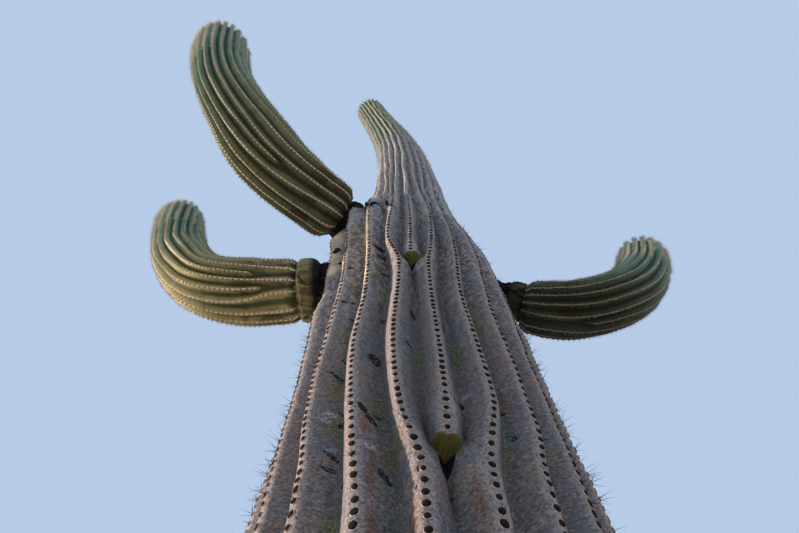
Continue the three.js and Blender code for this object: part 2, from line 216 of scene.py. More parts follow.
# Scars of the bark: from one (height, bearing) to another, and the half width.
SCARS = [
    ((2.445, -22), (2.415, -20), 0.0080), ((2.100, -15.5), (2.080, -13.5), 0.0030),
    ((2.095, -14.5), (2.075, -12.5), 0.0025), ((2.245, -22), (2.225, -20.5), 0.0035),
    ((2.225, -20), (2.200, -18), 0.0030), ((2.230, -17.5), (2.225, -17.5), 0.0030),
    ((2.305, -36), (2.280, -32), 0.0025), ((2.265, -35), (2.255, -32.5), 0.0030),
    ((2.185, -35.5), (2.165, -32), 0.0025), ((2.145, -34.5), (2.140, -32.5), 0.0035),
    ((2.135, -28.5), (2.125, -27.5), 0.0035), ((2.105, -29), (2.095, -27), 0.0025),
    ((2.265, 11.5), (2.260, 12.5), 0.0050), ((2.050, 4), (2.045, 4.5), 0.0030),
    ((2.070, -5), (2.060, -4.5), 0.0020), ((2.040, -5.5), (2.030, -5), 0.0020),
    ((2.615, -4.5), (2.580, -3.5), 0.0040), ((2.820, -4.5), (2.815, -3), 0.0025),
    ((3.045, -23.5), (3.070, -23), 0.0060), ((2.990, -22.5), (2.985, -21), 0.0065),
    ((2.865, -20), (2.860, -18.5), 0.0045), ((2.605, -20), (2.595, -19), 0.0045),
    ((2.735, -40), (2.735, -39), 0.0030), ((2.740, -37), (2.740, -36.5), 0.0030),
    ((2.960, -41), (2.970, -40), 0.0030), ((2.660, -37), (2.660, -36.5), 0.0045),
    ((2.720, -45), (2.720, -44), 0.0035), ((3.310, -63), (3.350, -62.5), 0.0050),
    ((2.495, -39), (2.460, -35.5), 0.0035), ((2.445, -41.5), (2.410, -37), 0.0030),
    ((2.390, -51.5), (2.355, -46), 0.0030), ((2.360, -54), (2.330, -49), 0.0025),
    ((2.535, 9.5), (2.500, 9), 0.0035), ((2.450, -7), (2.440, -5.5), 0.0040),
    ((2.625, 8.5), (2.620, 9.5), 0.0025), ((2.200, 28.5), (2.190, 28.5), 0.0030),
    ((2.280, 28.5), (2.270, 29), 0.0030), ((2.125, 32), (2.115, 32), 0.0030),
]
# Patches of colour on the trunk: (height, bearing, half width, half height).
SPOTS = {
    "olive": [
        (2.39, -38, 0.02, 0.05), (2.26, -35, 0.016, 0.035), (2.13, -12, 0.017, 0.035),
        (2.41, -3, 0.012, 0.045), (2.42, 14, 0.012, 0.045), (2.16, 24, 0.014, 0.04),
        (2.25, -18, 0.012, 0.04), (1.95, -11, 0.012, 0.035), (2.82, -22, 0.012, 0.06),
        (2.60, 28, 0.012, 0.05), (3.00, 18, 0.01, 0.06), (2.03, -30, 0.013, 0.03),
        (2.58, -38, 0.01, 0.05), (3.35, -44, 0.016, 0.11), (3.25, -44, 0.014, 0.1),
        (2.81, -36, 0.01, 0.06), (3.13, -38, 0.012, 0.1), (2.95, -18, 0.01, 0.05),
        (3.32, -60, 0.012, 0.06), (2.70, -19, 0.008, 0.07),
    ],
    # The next patches are painted sunlight on the shoulder, on skin that is paler there.
    "cream_and_painted_sun": [
        (3.28, -66, 0.03, 0.11), (3.14, -62, 0.014, 0.05), (3.45, -66, 0.03, 0.09),
        (3.42, -52, 0.012, 0.08), (3.25, -50, 0.009, 0.08), (3.08, -46, 0.007, 0.08),
        (3.34, -38, 0.009, 0.11), (3.16, -34, 0.009, 0.1), (2.98, -30, 0.007, 0.09),
        (2.84, -28, 0.006, 0.06),
    ],
    "rust": [
        (2.19, -20, 0.007, 0.035), (2.08, -17, 0.007, 0.055), (1.97, -16, 0.007, 0.07),
        (1.98, -6, 0.006, 0.05), (2.20, 4, 0.004, 0.03), (2.02, 10, 0.007, 0.04),
        (2.50, 22, 0.008, 0.05), (2.90, 4, 0.007, 0.09), (3.20, 16, 0.008, 0.08),
        (2.30, 30, 0.008, 0.03), (2.07, -38, 0.006, 0.02), (2.15, -26, 0.005, 0.03),
    ],
    "fleck": [
        (2.29, -37, 0.01, 0.007), (2.27, -38, 0.008, 0.005), (2.14, -18, 0.009, 0.006),
        (2.29, 14, 0.006, 0.008), (2.19, -34, 0.006, 0.004), (2.10, -28, 0.005, 0.004),
    ],
}
# Swollen lobes of the shoulder: how far they stand out, and (height, bearing, half sizes).
SHOULDER_LOBES = [
    (0.016, (3.18, -70, 0.065, 0.13)),
    (0.012, (2.82, -62, 0.060, 0.12)),
    (0.024, (3.46, -68, 0.070, 0.11)),
    (0.016, (3.60, -43, 0.070, 0.07)),
]
# The rim at the top of the shoulder: (bearing, height).
SHOULDER_RIM = [
    (-80, 3.68), (-60, 3.66), (-44, 3.64), (-36, 3.56),
    (-31, 3.50), (-23, 3.52), (-15, 3.42), (-5, 3.40),
]

# Noise of the relief: (height, size of the lumps, seed).
BARK_LUMPS = [(0.0030, 0.11, 11), (0.0014, 0.035, 12), (0.0006, 0.009, 14)]
ARM_LUMPS = [(0.0018, 0.07, 41), (0.0008, 0.025, 42)]
NECK_LUMPS = [(0.006, 0.03, 61), (0.003, 0.012, 63)]
NECK_LOBES = 15
NECK_DENT = 0.012
# The noise repeats after this many lumps.
LATTICE = 32

# Areoles. Between TRUNK_CLOSE's heights and bearings they are dark round pads in rims below
# RIM_TOP, and pale cones above it. Elsewhere they are cones, dark up to PALE_FROM and pale above.
# Profiles: (share of the radius, height) of each circle.
TRUNK_SPACING = [
    (0, 0.024), (2, 0.0215), (2.5, 0.021), (2.75, 0.0225),
    (3, 0.027), (3.3, 0.033), (4, 0.034), (8.3, 0.019),
]
TRUNK_AREOLES = [
    (0, 0.0055), (2, 0.0058), (2.5, 0.0056), (3.2, 0.0058), (3.6, 0.0046), (3.9, 0.0032), (8.3, 0.0032),
]
ARM_SPACING = [(0, 0.0155), (0.6, 0.0150), (1.5, 0.0145)]
TRUNK_CLOSE = (1.55, 4.6, -95, 90)
LOWEST_AREOLE = 0.06
RIM_TOP = 3.62
PALE_FROM = 4.0
RIM_PROFILE = [(1.2, -0.003), (1.12, 0.0006), (1.02, 0.0008), (0.97, -0.0008)]
PAD_PROFILE = [(1.0, -0.0014), (0.94, 0.0012), (0.6, 0.0024)]
PAD_TOP = 0.0026
CONE_PROFILE = [(1.1, -0.002)]
CONE_TOP = 0.002
ARM_CONE_PROFILE = [(1.1, -0.001)]
ARM_CONE_TOP = 0.0016
# Spines on the trunk: from LOWEST_SPINE up to SPINE_CHANGE they are dark, with few between
# SPARSE_FRONT's bearings. Above SPINE_CHANGE they are pale.
LOWEST_SPINE = 0.08
SPINE_CHANGE = 3.7
SPARSE_FRONT = (-46, 42)

# Materials of the small things: name, pale colour, dark colour, roughness.
FINE_MATERIALS = {
    "wool": ("areole_dark", (44, 36, 34), (14, 11, 12), 0.95),
    "wool_pale": ("areole_pale", (176, 172, 158), (128, 124, 114), 0.95),
    "rim": ("areole_rim", (204, 192, 180), (146, 134, 126), 0.9),
    "spine_dark": ("spine_dark", (92, 80, 72), (44, 38, 36), 0.7),
    "spine_grey": ("spine_grey", (204, 200, 190), (146, 140, 134), 0.75),
    "spine_straw": ("spine_straw", (188, 180, 150), (132, 124, 98), 0.7),
    "spine_pale": ("spine_pale", (224, 220, 204), (176, 170, 152), 0.7),
}

# What a skin holds for its making only. The rest goes on its vertices.
NOT_LOOKS = ("points", "arc", "angle", "across", "past")


def smooth(t):
    u = np.clip(t, 0, 1)
    return u * u * (3 - 2 * u)


def bump(t):
    """1 at t = 0, falling smoothly to nothing about 2 away."""
    return np.exp(-np.square(t))


def along(rows, place, column=1):
    """The value in a column of the rows at each place, on a smooth curve through all rows."""
    table = np.array(rows, float)
    x, y = table[:, 0], table[:, column]
    last = len(x) - 1
    before = np.maximum(np.arange(last + 1) - 1, 0)
    after = np.minimum(np.arange(last + 1) + 1, last)
    slope = (y[after] - y[before]) / (x[after] - x[before])
    i = np.clip(np.searchsorted(x, place, "right") - 1, 0, last - 1)
    span = x[i + 1] - x[i]
    t = np.clip((place - x[i]) / span, 0, 1)
    bend = t * (1 - t) * span * ((1 - t) * slope[i] - t * slope[i + 1])
    return y[i] + (y[i + 1] - y[i]) * smooth(t) + bend


def direction(heading, climb=0.0):
    h, c = np.radians(heading), np.radians(climb)
    parts = np.broadcast_arrays(np.sin(h) * np.cos(c), -np.cos(h) * np.cos(c), np.sin(c))
    return np.stack(parts, -1)


def unit(vectors):
    return vectors / np.linalg.norm(vectors, axis=-1, keepdims=True)


def apart(angle, other):
    """The signed difference of two angles, between -180 and 180."""
    return (angle - other + 180) % 360 - 180


def between(angle, low, high):
    return (angle - low) % 360 < high - low


def above_shoulder(place):
    """0 up to the top of the trunk's shoulder, 1 well above it."""
    return smooth((place - 3.4) / 0.6)


def soft_noise(points, size, seed):
    """Smooth noise between -1 and 1 at points (..., 3), with lumps of the given size."""
    table = np.random.default_rng(seed).uniform(-1, 1, (LATTICE, LATTICE, LATTICE))
    scaled = points / size
    cell = np.floor(scaled).astype(int)
    part = smooth(scaled - cell)
    total = 0
    for corner in np.ndindex(2, 2, 2):
        weight = np.prod(np.where(corner, part, 1 - part), -1)
        i, j, k = np.moveaxis((cell + corner) % LATTICE, -1, 0)
        total = total + weight * table[i, j, k]
    return total


def lumpy(points, lumps):
    return sum(high * soft_noise(points, size, seed) for high, size, seed in lumps)


class Limb:
    """A ribbed limb with a dome at its tip."""

    def __init__(self, front, others, opening, start, dome, tip, size):
        """front are the ribs that show, and others is the count of the rest. dome is the place
        where the tip's rounding starts, and tip is its length. size is a radius, for the grain."""
        self.front = front
        self.others = others
        self.opening = opening
        self.start = start
        self.dome = dome
        self.tip = tip
        self.end = dome + tip * np.pi / 2
        self.size = size

    def place(self, arc):
        """The place along the axis at an arc length, and the share of the full radius there."""
        turn = np.clip((arc - self.dome) / self.tip, 0, np.pi / 2)
        return np.minimum(arc, self.dome) + self.tip * np.sin(turn), np.cos(turn)

    def point(self, arc, angle, radius):
        """Points at arc lengths and angles, at a radius that the dome has not shrunk yet."""
        place, shrink = self.place(arc)
        centre, side, top = self.axes(place)
        turn = np.radians(angle)
        out = side * np.sin(turn)[..., None] + top * np.cos(turn)[..., None]
        return centre + out * (radius * shrink)[..., None]

    def past_dome(self, place):
        """0 up to where the dome starts, 1 at the tip."""
        return np.clip((place - self.dome) / self.tip, 0, 1)

    def aside(self, angle, place, middle):
        """How far round the limb each angle lies from a middle one, in metres."""
        return np.radians(apart(angle, middle)) * self.girth(np.array(place), np.array(middle))

    def ribs(self, place):
        """Angle and share of every rib at each place, as arrays (rib, place)."""
        full = np.ones_like(place)
        angles, shares = [], []
        for k, (start, rows) in enumerate(self.front):
            wave = WAVE_ANGLE * above_shoulder(place) * np.sin(place / WAVE_RUN + 2.1 * k)
            angles.append(along(rows, place) + wave)
            shares.append(np.maximum(self.opened(place, start), SLIM_SHARE) if start else full)
        last = angles[-1]
        gap = (angles[0] + 360 - last) / (self.others + 1)
        for k in range(self.others):
            sway = SWAY_ANGLE * np.sin(place / SWAY_RUN + 2.4 * k)
            angles.append(last + gap * (k + 1) + sway)
            shares.append(full)
        return np.array(angles), np.array(shares)

    def opened(self, place, start):
        """How wide a new rib is at each place, as a share of a full rib."""
        if start > HIGH_START:
            return smooth((place - start) / HIGH_RUN + 0.3)
        wide = smooth((place - start) / self.opening["run"] + self.opening["early"])
        return wide * (1 + self.opening["swell"] * bump((place - start) / SWELL_RUN))

    def start_of(self, owner):
        """Where each point's rib starts, 0 for a rib of full length."""
        return np.array([start for start, _ in self.front] + [0] * self.others)[owner]

    def past_start(self, place, across, owner):
        """How far each point is past its rib's start, which is a blunt prow. Ribs without a
        nose of their own are endlessly far past it."""
        start = self.start_of(owner)
        past = place - start - PROW * np.abs(across) ** 1.6
        return np.where((start > 0) & (start < HIGH_START), past, np.inf)

    def rise(self, place, across, owner):
        """How far each rib has risen, from 0 to 1."""
        start = self.start_of(owner)
        slow = np.where(start > HIGH_START, smooth((place - start) / HIGH_RUN), 1.0)
        risen = np.clip(self.past_start(place, across, owner) / self.opening["nose"], 0, 1)
        return slow * np.sqrt(1 - np.square(1 - risen))

    def roll(self, arc, angle):
        """1 where the ribs are full rolls with narrow furrows between them."""
        return 0 * arc

    def valley(self, arc, angle):
        """The least rise of the skin beside the foot of a new rib's nose."""
        return 0 * arc

    def grid(self, arcs, columns):
        """The skin's grid over the ribs: angle and across (-1 and 1 in the furrows, 0 on the
        crest) as arrays (ring, column), and each column's rib."""
        close, far, low, high = columns
        middle = self.ribs(np.array([self.start, self.dome]))[0].mean(1)
        angles, shares = self.ribs(np.minimum(self.place(arcs)[0], self.dome))
        angle, across, owner = [], [], []
        for k in range(len(middle)):
            n = (k + 1) % len(middle)
            left = apart(angles[k], angles[k - 1]) * shares[k] / (shares[k] + shares[k - 1])
            right = apart(angles[n], angles[k]) * shares[k] / (shares[k] + shares[n])
            count = close if between(middle[k], low, high) else far
            for step in np.linspace(-1, 1, count, endpoint=False):
                spot = np.sign(step) * abs(step) ** CREST_CROWDING
                angle.append(angles[k] + spot * (left if spot < 0 else right))
                across.append(np.full_like(arcs, spot))
                owner.append(k)
        return np.array(angle).T, np.array(across).T, np.array(owner)


class Trunk(Limb):
    def __init__(self):
        tip = TRUNK_GIRTH[-1][1]
        ribs = (TRUNK_RIBS, TRUNK_BACK_RIBS, TRUNK_OPENING)
        super().__init__(*ribs, 0.0, DOME_HEIGHT, tip, TRUNK_WIDEST)

    def axes(self, place):
        """Points on the centre line, and the directions of the sides and of the front there."""
        t = np.clip((place - LEAN_FROM) / (LEAN_TO - LEAN_FROM), 0, 1)
        bent = (LEAN_TO - LEAN_FROM) * (t**3 - t**4 / 2)
        out = np.tan(np.radians(LEAN_ANGLE)) * (bent + np.maximum(place - LEAN_TO, 0))
        centre = direction(LEAN_HEADING) * out[..., None]
        centre[..., 2] = place
        side = np.broadcast_to(direction(90), centre.shape)
        front = np.broadcast_to(direction(0), centre.shape)
        return centre, side, front

    def girth(self, place, angle):
        level = np.minimum(place, self.dome)
        shoulder = smooth(1 - np.abs(apart(angle, SHOULDER_BEARING)) / SHOULDER_SPREAD)
        open_side = along(TRUNK_GIRTH, level, 1)
        return open_side + shoulder * (along(TRUNK_GIRTH, level, 2) - open_side)

    def furrow(self, place):
        """How deep the furrows are."""
        return along(TRUNK_FURROW, np.minimum(place, self.dome)) * (1 - 0.5 * self.past_dome(place))

    def age(self, place):
        """1 on the old bark, 0 on the green skin near the tip."""
        return 1 - smooth((place - 4.2) / 3.2)

    def flatness(self, place):
        """1 where the ribs are flat-topped, 0 where they are round."""
        return 1 - smooth((place - 3.0) / 1.4)

    def roll(self, arc, angle):
        """Full round the start of a new rib, and a little above the shoulder."""
        place, _ = self.place(arc)
        upper = 0.25 * above_shoulder(place) * smooth((7 - place) / 2)
        return np.maximum(np.clip(1.3 * self.split_spots(arc, angle, 0.01, 0.055, 0.10), 0, 1), upper)

    def new_ribs(self, angle):
        """Where each new rib starts, and how far aside of it each angle lies."""
        starting = [(start, rows) for start, rows in self.front if start]
        return [(start, self.aside(angle, start, along(rows, np.array(start)))) for start, rows in starting]

    def split_spots(self, arc, angle, lift, wide, high):
        """A soft spot at every place where a new rib starts, lifted along the trunk."""
        total = 0
        for start, side in self.new_ribs(angle):
            total = total + bump(side / wide) * bump((arc - start - lift) / high)
        return total

    def valley(self, arc, angle):
        """The slopes rise towards both sides of the nose."""
        total = np.zeros_like(arc)
        for start, side in self.new_ribs(angle):
            if start < HIGH_START:
                slope = 0.7 * np.clip(np.abs(side) / 0.030, 0, 1) * bump((arc - start + 0.02) / 0.045)
                total = np.maximum(total, slope * (np.abs(side) < 0.06))
        return total

    def spacing(self, arc):
        return along(TRUNK_SPACING, np.array(arc))

    def areole_length(self, arc):
        """The areoles' length along the rib over their width."""
        return 1.1 + 0.5 * smooth((arc - 2.4) / 0.8)


class Arm(Limb):
    def __init__(self, name, sizes):
        dome = sizes["length"] - sizes["dome"]
        start = sizes["cuff"][0] if sizes["cuff"] else sizes["neck"][0]
        ribs = (sizes["ribs"], sizes["others"], ARM_OPENING)
        super().__init__(*ribs, start, dome, sizes["dome"], sizes["dome"])
        self.name = name
        self.sizes = sizes
        pace = 0.002
        self.steps = np.arange(0, sizes["length"] + pace, pace)
        moves = direction(*self.turn(self.steps + pace / 2)) * pace
        self.line = np.array(sizes["root"]) + np.vstack([np.zeros(3), np.cumsum(moves[:-1], 0)])

    def turn(self, place):
        rows = np.array(self.sizes["turns"], float)
        return np.interp(place, rows[:, 0], rows[:, 1]), np.interp(place, rows[:, 0], rows[:, 2])

    def axes(self, place):
        heading, climb = self.turn(place)
        centre = np.stack([np.interp(place, self.steps, self.line[:, k]) for k in range(3)], -1)
        return centre, direction(heading - 90), direction(heading, climb + 90)

    def girth(self, place, angle):
        return along(self.sizes["girth"], np.minimum(place, self.dome)) + 0 * angle

    def furrow(self, place):
        deep = self.sizes["furrow"] * smooth(0.35 + (place - self.start) / 0.25)
        return deep * (1 - 0.82 * self.past_dome(place))

    def near_base(self, place, reach):
        """1 at the start of the arm's skin, falling to 0 over a reach."""
        return smooth(1 - (place - self.start) / reach)

    def age(self, place):
        return 0.25 * self.near_base(place, 0.5)

    def flatness(self, place):
        return self.age(place)

    def spacing(self, arc):
        return along(ARM_SPACING, np.array(arc))

    def areole_length(self, arc):
        return 1.1 + 0 * arc


def crest_shape(across, flatness, full):
    """The rise of the skin over a furrow: a flat-topped rib where it is old, an even wave where
    it is young, and a full round roll where full is 1."""
    old = 1 - smooth((np.abs(across) - 0.09) / 0.91)
    young = ((1 + np.cos(np.pi * across)) / 2) ** 1.25
    roll = 1 - np.abs(across) ** 3.4
    shape = flatness * old + (1 - flatness) * young
    return shape + full * (roll - shape)


def areole_rows(limb, seed):
    """The arc lengths of the areoles along each rib."""
    rng = np.random.default_rng(seed)
    rows = []
    for start in [start or limb.start for start, _ in limb.front] + [limb.start] * limb.others:
        arc = start + 0.012 + limb.spacing(start) * rng.uniform(0.5, 1)
        row = []
        while arc < limb.end - 0.006:
            row.append(float(arc))
            arc += limb.spacing(arc) * rng.uniform(0.86, 1.14)
        rows.append(np.array(row))
    return rows


def notches(rows, owner, arcs, across):
    """1 in the middle of each areole's notch on the crest, 0 between the notches."""
    phase = np.array([np.interp(arcs, row, np.arange(len(row))) for row in rows])[owner].T
    return np.cos(np.pi * phase) ** 2 * bump(across / 0.14)


def flat_coordinates(limb, arcs, angle):
    """Where each point would lie if the limb were straight, for the grain of the skin."""
    turn = np.radians(angle)
    return np.stack([limb.size * np.sin(turn), limb.size * np.cos(turn), arcs + 0 * turn], -1)


def sprayed(limb, arc, angle, spots):
    """The soft cover of round spots, from 0 to 1."""
    total = np.zeros_like(arc)
    for height, bearing, wide, high in spots:
        near = np.abs(arc[:, 0] - height) < 3 * high
        cover = bump(limb.aside(angle[near], height, bearing) / wide) * bump((arc[near] - height) / high)
        total[near] = np.maximum(total[near], cover)
    return total


def scarred(limb, arc, angle):
    """The cover of the scars, from 0 to 1, with a ragged edge. High up they are broader."""
    total = np.zeros_like(arc)
    for (low, first), (high, second), wide in SCARS:
        middle = (low + high) / 2
        near = np.abs(arc[:, 0] - middle) < abs(high - low) / 2 + 9 * wide
        scale = np.radians(1) * limb.girth(np.array(middle), np.array(first))
        run = np.array([apart(second, first) * scale, high - low])
        step = np.stack([apart(angle[near], first) * scale, arc[near] - low], -1)
        share = np.clip(step @ run / (run @ run), 0, 1)
        gap = np.linalg.norm(step - share[..., None] * run, axis=-1)
        ragged = 1 + 0.55 * soft_noise(flat_coordinates(limb, arc[near], angle[near]), 0.006, 51)
        broad = wide * (1.5 + 1.3 * smooth((middle - 2.5) / 0.5))
        width = broad * (1 - 0.5 * np.abs(2 * share - 1)) * ragged
        total[near] = np.maximum(total[near], bump(gap / width))
    return total


def shoulder_edge(limb, arc, angle):
    """The dark scaly rim round the top of the shoulder, under the high arm; its dark is partly
    painted shade along the ledge there.
    """
    bearing = apart(angle, 0)
    flat = flat_coordinates(limb, arc, angle)
    line = along(SHOULDER_RIM, bearing) + lumpy(flat, [(0.022, 0.028, 21), (0.014, 0.011, 23)])
    ends = smooth((bearing + 90) / 15) * smooth((-10 - bearing) / 8)
    scales = np.clip(0.6 + 1.3 * soft_noise(flat, 0.012, 22), 0, 1)
    return bump((arc - line) / 0.020) * ends * scales


def relief_of_trunk(limb, arc, angle, across, notch):
    """How far the bark stands out from the plain ribbed shape."""
    flat = flat_coordinates(limb, arc, angle)
    folds = 0.0009 * soft_noise(flat * [0.6, 0.6, 2.2], 0.024, 13) * (1 - bump(across / 0.2))
    pits = 0.006 * limb.split_spots(arc, angle, -0.014, 0.010, 0.014)
    scars = 0.0022 * scarred(limb, arc, angle)
    rim = 0.012 * shoulder_edge(limb, arc, angle)
    lobe = sum(high * sprayed(limb, arc, angle, [spot]) for high, spot in SHOULDER_LOBES)
    return lumpy(flat, BARK_LUMPS) + folds + lobe + rim - pits - scars - 0.0020 * notch


def relief_of_arm(limb, arc, angle, across, notch):
    """How far an arm's skin stands out from the plain ribbed shape."""
    flat = flat_coordinates(limb, arc, angle) * [1.6, 1.6, 1]
    creases = 0.0035 * limb.near_base(arc, 0.12) * soft_noise(flat * [1, 1, 2], 0.03, 43)
    pinch = 0.010 * limb.near_base(arc, 0.02)
    return lumpy(flat, ARM_LUMPS) + creases - pinch - 0.0012 * notch


# Meshes


def mesh_piece(name, points, faces, material, rounded=True):
    """A mesh from vertices (n, 3) and a list of face arrays of one size each."""
    mesh = bpy.data.meshes.new(name)
    mesh.vertices.add(len(points))
    mesh.vertices.foreach_set("co", np.ascontiguousarray(points, np.float32).ravel())
    corners = np.concatenate([block.ravel() for block in faces])
    sizes = np.concatenate([np.full(len(block), block.shape[1]) for block in faces])
    mesh.loops.add(len(corners))
    mesh.loops.foreach_set("vertex_index", corners.astype(np.int32))
    mesh.polygons.add(len(sizes))
    mesh.polygons.foreach_set("loop_start", (np.cumsum(sizes) - sizes).astype(np.int32))
    mesh.polygons.foreach_set("use_smooth", np.full(len(sizes), rounded))
    mesh.update(calc_edges=True)
    mesh.validate()
    mesh.materials.append(material)
    piece = bpy.data.objects.new(name, mesh)
    bpy.context.scene.collection.objects.link(piece)
    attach(piece, "root")
    return piece


def add_look(piece, name, values):
    """Numbers or vectors on the vertices, for the materials."""
    kind, field = ("FLOAT_VECTOR", "vector") if values.shape[1] == 3 else ("FLOAT", "value")
    layer = piece.data.attributes.new(name, kind, "POINT")
    layer.data.foreach_set(field, np.ascontiguousarray(values, np.float32).ravel())


def tube_faces(rings, sides):
    """Quads between the rings of a closed tube."""
    first = np.arange(rings - 1)[:, None] * sides + np.arange(sides)
    after = np.arange(rings - 1)[:, None] * sides + (np.arange(sides) + 1) % sides
    return np.stack([first, after, after + sides, first + sides], -1).reshape(-1, 4)


def fan_faces(ring_start, sides, tip, ahead):
    """Triangles from a ring to one point. ahead says that the point is past the last ring."""
    first = ring_start + np.arange(sides)
    after = ring_start + (np.arange(sides) + 1) % sides
    point = np.full(sides, tip)
    return np.stack([first, after, point] if ahead else [after, first, point], -1)


def grid_normals(points):
    """The outward normal at each point of a closed grid (ring, column, 3)."""
    across = np.roll(points, -1, 1) - np.roll(points, 1, 1)
    up = np.gradient(points, axis=0)
    return unit(np.cross(across, up))


def skin_piece(name, skin, rings, caps, material, replaced):
    """One piece of a skin between two rings, closed by a point at its foot or tip, or both."""
    points = skin["points"][rings]
    count, sides = points.shape[:2]
    total = count * sides
    vertices = points.reshape(total, 3)
    normals = grid_normals(skin["points"])[rings].reshape(total, 3)
    looks = {key: skin[key][rings].reshape(total, -1) for key in skin if key not in NOT_LOOKS}
    faces = [tube_faces(count, sides)]
    ends = {
        "foot": (0, 0, [0, 0, -1]),
        "tip": (count - 1, total - 1, unit(points[-1].mean(0) - points[-6].mean(0))),
    }
    for cap in caps:
        ring, like, way = ends[cap]
        faces.append(fan_faces(ring * sides, sides, len(vertices), cap == "tip"))
        vertices = np.vstack([vertices, points[ring].mean(0)])
        normals = np.vstack([normals, way])
        looks = {key: np.vstack([values, values[like]]) for key, values in looks.items()}
    piece = mesh_piece(name, vertices, faces, material)
    for key, values in looks.items():
        add_look(piece, key, values)
    piece.data.normals_split_custom_set_from_vertices(normals)
    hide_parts(*replaced)


def closed_piece(name, skin, material, replaced):
    """A whole skin as one piece, closed at both ends."""
    skin_piece(name, skin, slice(None), ("foot", "tip"), material, replaced)


# Materials


def linear(red, green, blue):
    """A colour given as it looks, 0 to 255, as Blender's linear colour."""
    parts = np.array([red, green, blue]) / 255
    curve = np.where(parts <= 0.04045, parts / 12.92, ((parts + 0.055) / 1.055) ** 2.4)
    return (*curve, 1.0)


class Shade:
    """A material whose skin is laid on colour by colour, and short ways to add its nodes."""

    def __init__(self, name, specular):
        self.material = bpy.data.materials.new(name)
        self.material.use_nodes = True
        self.tree = self.material.node_tree
        self.shader = self.tree.nodes["Principled BSDF"]
        self.feed(self.shader, {"Specular IOR Level": specular})

    def feed(self, node, inputs):
        for key, value in inputs.items():
            if isinstance(value, bpy.types.NodeSocket):
                self.tree.links.new(value, node.inputs[key])
            else:
                node.inputs[key].default_value = value

    def node(self, kind, inputs, **settings):
        made = self.tree.nodes.new("ShaderNode" + kind)
        for key, value in settings.items():
            setattr(made, key, value)
        self.feed(made, inputs)
        return made

    def number(self, name):
        """The number of that name on the vertices."""
        return self.node("Attribute", {}, attribute_name=name).outputs["Fac"]

    def flat(self, scale=(1, 1, 1)):
        """The place on the straightened limb, scaled along its three axes."""
        source = self.node("Attribute", {}, attribute_name="flat").outputs["Vector"]
        return self.node("VectorMath", {0: source, 1: scale}, operation="MULTIPLY").outputs[0]

    def position(self):
        return self.node("TexCoord", {}).outputs["Object"]

    def noise(self, vector, scale, detail, roughness=0.55, distortion=0.0):
        inputs = {"Vector": vector, "Scale": scale, "Detail": detail}
        inputs.update({"Roughness": roughness, "Distortion": distortion})
        return self.node("TexNoise", inputs).outputs["Fac"]

    def bent(self, vector, scale, size):
        """A vector moved about by a small noise."""
        noise = self.node("TexNoise", {"Vector": vector, "Scale": scale}).outputs["Color"]
        small = self.node("VectorMath", {0: noise, "Scale": size}, operation="SCALE").outputs[0]
        return self.node("VectorMath", {0: vector, 1: small}, operation="ADD").outputs[0]

    def cells(self, vector, scale):
        """The distance from the edges of crooked cells."""
        inputs = {"Vector": vector, "Scale": scale}
        return self.node("TexVoronoi", inputs, feature="DISTANCE_TO_EDGE").outputs["Distance"]

    def math(self, operation, a, b):
        return self.node("Math", {0: a, 1: b}, operation=operation).outputs[0]

    def times(self, first, *others):
        for other in others:
            first = self.math("MULTIPLY", first, other)
        return first

    def total(self, constant, *terms):
        """A constant plus (value, factor) terms."""
        for value, factor in terms:
            constant = self.math("ADD", self.times(value, factor), constant)
        return constant

    def step(self, value, low, high):
        """0 below low, 1 above high, smooth between. low may be above high."""
        ends = (low, high, 0.0, 1.0) if low < high else (high, low, 1.0, 0.0)
        inputs = dict(zip(("From Min", "From Max", "To Min", "To Max"), ends), Value=value)
        return self.node("MapRange", inputs, interpolation_type="SMOOTHSTEP").outputs["Result"]

    def mix(self, share, a, b):
        return self.node("Mix", {0: share, 6: a, 7: b}, data_type="RGBA").outputs[2]

    def ramp(self, share, a, b):
        """From one colour to another."""
        return self.mix(share, linear(*a), linear(*b))

    def lay(self, colour, *shares):
        """Lays a colour over the skin, by the product of the shares."""
        self.skin = self.mix(self.times(*shares), self.skin, linear(*colour))

    def finish(self, height, depth, strength, roughness):
        """Colour and bump of the skin. The roughness is a number, or (value, at 0, at 1)."""
        made = self.node("Bump", {"Height": height, "Distance": depth, "Strength": strength})
        if isinstance(roughness, tuple):
            value, low, high = roughness
            spread = self.node("MapRange", {"Value": value, "To Min": low, "To Max": high})
            roughness = spread.outputs["Result"]
        normal = made.outputs["Normal"]
        self.feed(self.shader, {"Base Color": self.skin, "Normal": normal, "Roughness": roughness})
        return self.material


def bark_noises(s):
    flat = s.flat()
    return SimpleNamespace(
        crest=s.number("crest"),
        high=s.number("high"),
        patches=s.noise(flat, 9, 3),
        hues=s.noise(flat, 22, 2),
        blotches=s.noise(flat, 48, 4, 0.62, 0.8),
        specks=s.noise(flat, 230, 3, 0.68),
        lines=s.noise(s.flat((45, 45, 230)), 1, 3, 0.6, 1.5),
        grains=s.noise(s.flat((120, 120, 38)), 1, 3, 0.7),
        streaks=s.noise(s.flat((70, 70, 11)), 1, 4, 0.7),
        cracks=s.cells(s.bent(flat, 60, 0.02), 105),
    )


def lay_mottle(s, n):
    """Broad patches, furrows darkened with painted shade on a blue-grey tint, and the olive and rusty
    places.
    """
    s.skin = s.ramp(s.step(n.patches, 0.38, 0.62), (126, 115, 114), (111, 115, 121))
    s.lay((134, 122, 98), s.step(n.hues, 0.52, 0.66), 0.5)
    s.lay((150, 130, 122), s.step(n.blotches, 0.5, 0.64), 0.6)
    s.lay((88, 90, 98), s.step(n.blotches, 0.47, 0.34), 0.65)
    s.lay((162, 168, 180), n.high, 0.44)
    # Painted shade in the furrows, on a blue-grey tint of the skin.
    depth = s.total(0.42, (s.step(n.high, 0.0, 0.5), 0.2))
    s.lay((62, 74, 76), s.step(n.crest, 0.5, 0.03), depth)
    s.lay((98, 104, 60), s.number("olive"), 0.9)
    s.lay((124, 84, 58), s.number("rust"), 0.8)


